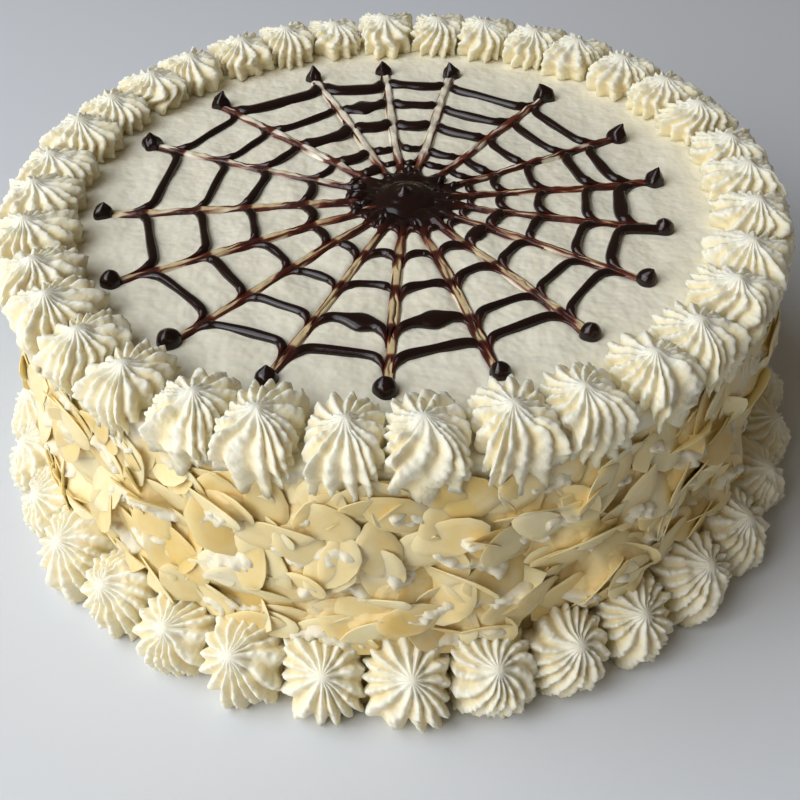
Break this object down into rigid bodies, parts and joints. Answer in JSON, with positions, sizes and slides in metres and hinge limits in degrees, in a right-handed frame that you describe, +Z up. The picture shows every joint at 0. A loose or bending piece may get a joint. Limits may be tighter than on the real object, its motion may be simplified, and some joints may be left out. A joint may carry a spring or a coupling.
{
  "type": "almond and whipped cream layer cake with a chocolate web",
  "caption": "Round uncut layer cake coated in whipped cream, with flaked almonds round its side, piped star borders at top and bottom, and a chocolate spider-web pattern with drops on top.",
  "frame": {"origin": "centre of the cake's flat underside, where it rests", "axes": "+Z up through the cake's middle, -Y towards the front of the picture, +X to the right"},
  "size_m": [0.2731, 0.273, 0.0994],
  "materials": {
    "coated_cake": "soft whipped cream coat with almond flakes and a chocolate web",
    "whipped_cream": "piped whipped cream, soft satin",
    "chocolate": "glossy dark chocolate glaze"
  },
  "bodies": {
    "root": {"cake": "coated_cake", "web_hub": "chocolate", "star_top_01": "whipped_cream", "star_top_02": "whipped_cream", "star_top_03": "whipped_cream", "star_top_04": "whipped_cream", "star_top_05": "whipped_cream", "star_top_06": "whipped_cream", "star_top_07": "whipped_cream", "star_top_08": "whipped_cream", "star_top_09": "whipped_cream", "star_top_10": "whipped_cream", "star_top_11": "whipped_cream", "star_top_12": "whipped_cream", "star_top_13": "whipped_cream", "star_top_14": "whipped_cream", "star_top_15": "whipped_cream", "star_top_16": "whipped_cream", "star_top_17": "whipped_cream", "star_top_18": "whipped_cream", "star_top_19": "whipped_cream", "star_top_20": "whipped_cream", "star_top_21": "whipped_cream", "star_top_22": "whipped_cream", "star_top_23": "whipped_cream", "star_top_24": "whipped_cream", "star_top_25": "whipped_cream", "star_top_26": "whipped_cream", "star_top_27": "whipped_cream", "star_top_28": "whipped_cream", "star_top_29": "whipped_cream", "star_top_30": "whipped_cream", "star_top_31": "whipped_cream", "star_top_32": "whipped_cream", "star_top_33": "whipped_cream", "star_top_34": "whipped_cream", "star_top_35": "whipped_cream", "star_base_01": "whipped_cream", "star_base_02": "whipped_cream", "star_base_03": "whipped_cream", "star_base_04": "whipped_cream", "star_base_05": "whipped_cream", "star_base_06": "whipped_cream", "star_base_07": "whipped_cream", "star_base_08": "whipped_cream", "star_base_09": "whipped_cream", "star_base_10": "whipped_cream", "star_base_11": "whipped_cream", "star_base_12": "whipped_cream", "star_base_13": "whipped_cream", "star_base_14": "whipped_cream", "star_base_15": "whipped_cream", "star_base_16": "whipped_cream", "star_base_17": "whipped_cream"}
  },
  "joints": []
}
